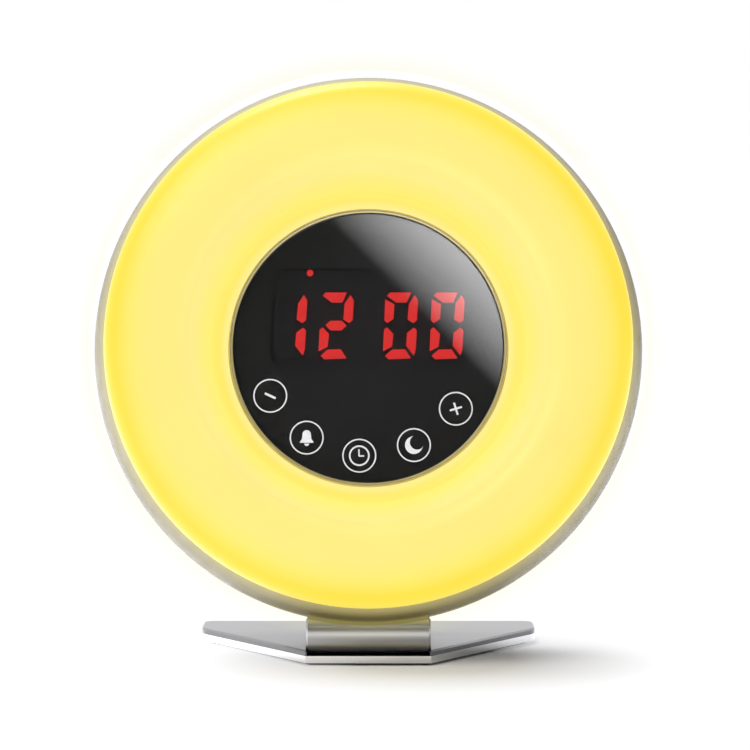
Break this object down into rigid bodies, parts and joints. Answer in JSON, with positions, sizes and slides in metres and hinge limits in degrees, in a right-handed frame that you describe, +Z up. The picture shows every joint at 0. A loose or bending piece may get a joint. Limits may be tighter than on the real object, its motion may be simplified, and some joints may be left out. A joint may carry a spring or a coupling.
{
  "type": "sunrise alarm clock",
  "caption": "Round bedside lamp clock: a glowing ring around a dark touch display, leaning back on a short round-ended column and a flat two-layer metal foot.",
  "frame": {"origin": "middle of the foot's underside, on the surface the clock stands on", "axes": "+Z up, display facing -Y, +X to the viewer's right"},
  "size_m": [0.17, 0.0826, 0.1787],
  "materials": {
    "warm_white_abs": "warm light-grey ABS, satin moulded surface",
    "reflector_white": "white reflector plastic",
    "milky_diffuser": "opal polycarbonate lit warm yellow from inside",
    "champagne_metal": "satin champagne-coloured metal",
    "smoked_acrylic": "smoked polished acrylic",
    "black_film": "black printed film",
    "black_plastic": "matt black potting",
    "red_led": "lit red segment",
    "dark_segment": "unlit segment",
    "circuit_board": "green solder mask",
    "black_component": "moulded component bodies",
    "zinc_screw": "zinc plated steel",
    "circuit_board_white": "white solder mask",
    "lamp_yellow": "phosphor lamp",
    "black_foam": "closed-cell foam",
    "pressed_steel": "black painted pressed steel",
    "ferrite": "ferrite magnet, modelled as its plain outer form",
    "paper_cone": "black paper",
    "cell_jacket": "plain dark jacket without a label",
    "black_wire": "PVC insulation",
    "button_grey": "satin grey plastic",
    "polished_plate": "polished darker metal",
    "satin_plate": "satin anodised metal, bevelled edge",
    "gunmetal": "dark satin anodised metal"
  },
  "bodies": {
    "clock": {"rear_housing": "warm_white_abs", "light_dish": "reflector_white", "diffuser_ring": "milky_diffuser", "bezel_ring": "champagne_metal", "display_lens": "smoked_acrylic", "legend_film": "black_film", "display_module": "black_plastic", "display_segments_lit": "red_led", "display_segments_unlit": "dark_segment", "main_board": "circuit_board", "board_components": "black_component", "main_board_screws": "zinc_screw", "touch_springs": "zinc_screw", "led_board": "circuit_board_white", "leds": "lamp_yellow", "led_board_screws": "zinc_screw", "speaker_gasket": "black_foam", "speaker_frame": "pressed_steel", "speaker_magnet": "ferrite", "speaker_cone": "paper_cone", "speaker_screws": "zinc_screw", "backup_cells": "cell_jacket", "battery_springs": "zinc_screw", "battery_contacts": "zinc_screw", "switch_board_screws": "zinc_screw", "dc_jack": "black_plastic", "power_board": "circuit_board", "housing_screws": "zinc_screw", "speaker_lead": "black_wire", "battery_leads": "black_wire", "power_lead": "black_wire", "led_lead": "black_wire", "light_switch": "black_plastic", "light_switch_board": "circuit_board", "light_switch_lead": "black_wire", "sound_switch": "black_plastic", "sound_switch_board": "circuit_board", "sound_switch_lead": "black_wire", "foot_pad": "black_foam", "foot_plate": "polished_plate", "foot_cover": "satin_plate", "stand_column": "gunmetal", "column_screws": "zinc_screw", "neck_screws": "zinc_screw"},
    "light_button": {"light_button": "button_grey", "light_switch_plunger": "button_grey"},
    "sound_button": {"sound_button": "button_grey", "sound_switch_plunger": "button_grey"},
    "battery_door": {"battery_door": "warm_white_abs"}
  },
  "joints": [
    {"name": "light_button_press", "type": "slide", "parent": "clock", "child": "light_button", "axis": [0, -0.9836, 0.1805], "range_m": [0, 0.0004], "stiffness_N_per_m": 1500},
    {"name": "sound_button_press", "type": "slide", "parent": "clock", "child": "sound_button", "axis": [0, -0.9836, 0.1805], "range_m": [0, 0.0004], "stiffness_N_per_m": 1500},
    {"name": "battery_door_hinge", "type": "hinge", "parent": "clock", "child": "battery_door", "pos_m": [0, 0.02419, 0.0578], "axis": [-1, 0, 0], "range_deg": [0, 35]}
  ]
}
